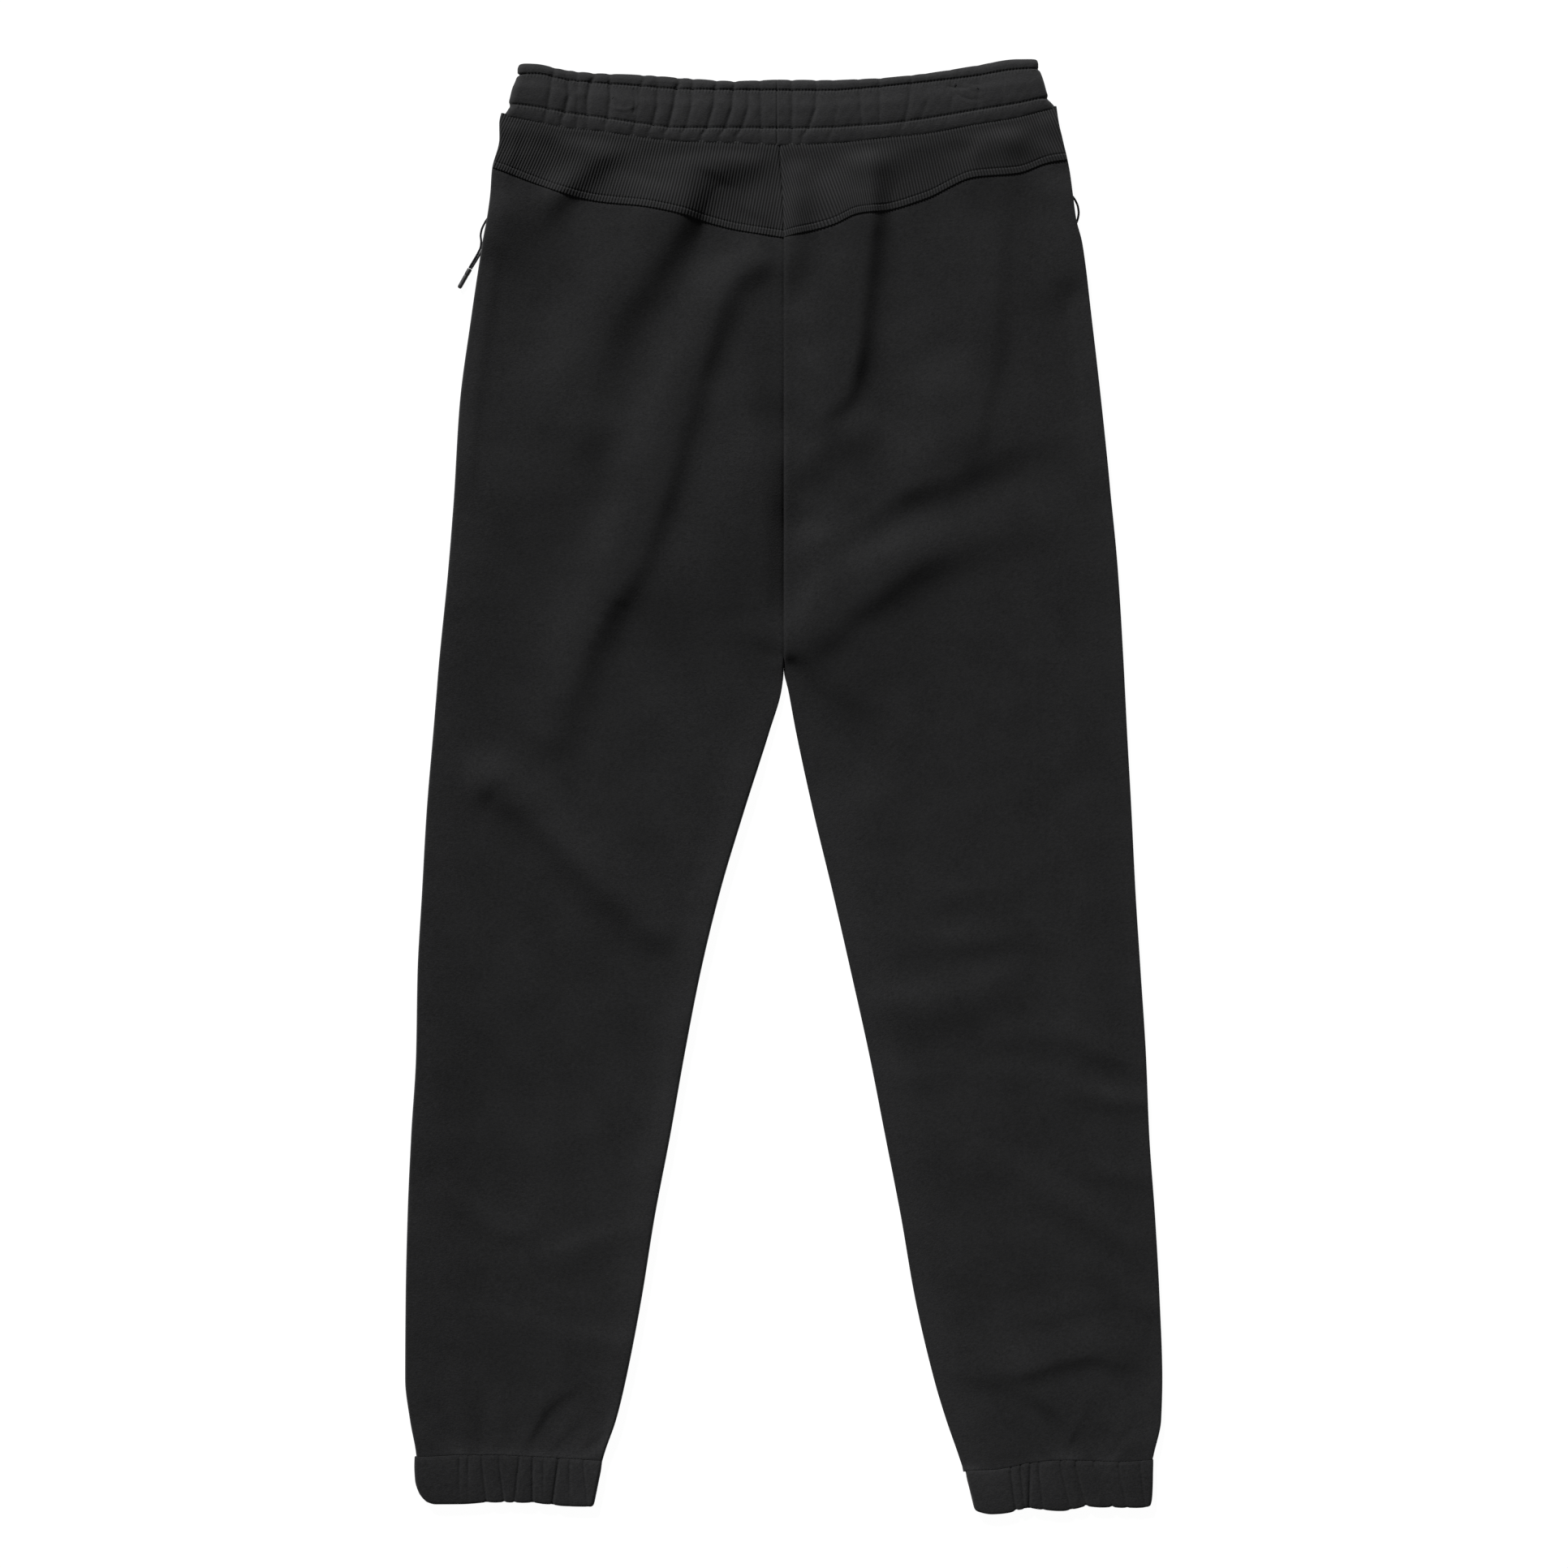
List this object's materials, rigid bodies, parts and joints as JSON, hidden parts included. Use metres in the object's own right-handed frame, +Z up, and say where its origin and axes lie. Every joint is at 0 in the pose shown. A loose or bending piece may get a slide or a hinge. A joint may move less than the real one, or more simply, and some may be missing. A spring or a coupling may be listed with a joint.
{
  "type": "jogger sweatpants",
  "caption": "Tapered fleece jogger sweatpants lying flat, back up, with a shirred elastic waistband, ribbed seat yokes, zip pockets with cord pullers and gathered elastic cuffs.",
  "frame": {"origin": "centre of the bounding box in plan, on the surface that the garment lies on", "axes": "+Z up, out of the garment's back; +Y from the cuffs to the waist; +X to the right of someone who looks down on the back, which is the wearer's right"},
  "size_m": [0.522, 1.0029, 0.0113],
  "materials": {
    "fleece": "brushed cotton blend fleece, near black, matt",
    "fleece_band": "the same fleece shirred over elastic, a shade lighter",
    "rib": "ribbed knit of the same colour, matt",
    "zip_tape": "black woven tape",
    "zip_slider": "black enamel, satin",
    "cord": "black braided cord",
    "cord_tip": "black moulded tip, matt"
  },
  "bodies": {
    "root": {"waistband": "fleece_band", "yoke_left": "rib", "yoke_right": "rib", "back_left": "fleece", "back_right": "fleece", "front_left": "fleece", "front_right": "fleece", "cuff_left": "fleece", "cuff_right": "fleece", "zip_tape_left": "zip_tape", "zip_tape_right": "zip_tape", "zip_slider_left": "zip_slider", "zip_slider_right": "zip_slider", "puller_cord_left_outer": "cord", "puller_cord_left_inner": "cord", "puller_cord_right_outer": "cord", "puller_cord_right_inner": "cord", "puller_tip_left": "cord_tip", "puller_tip_right": "cord_tip"}
  },
  "joints": []
}
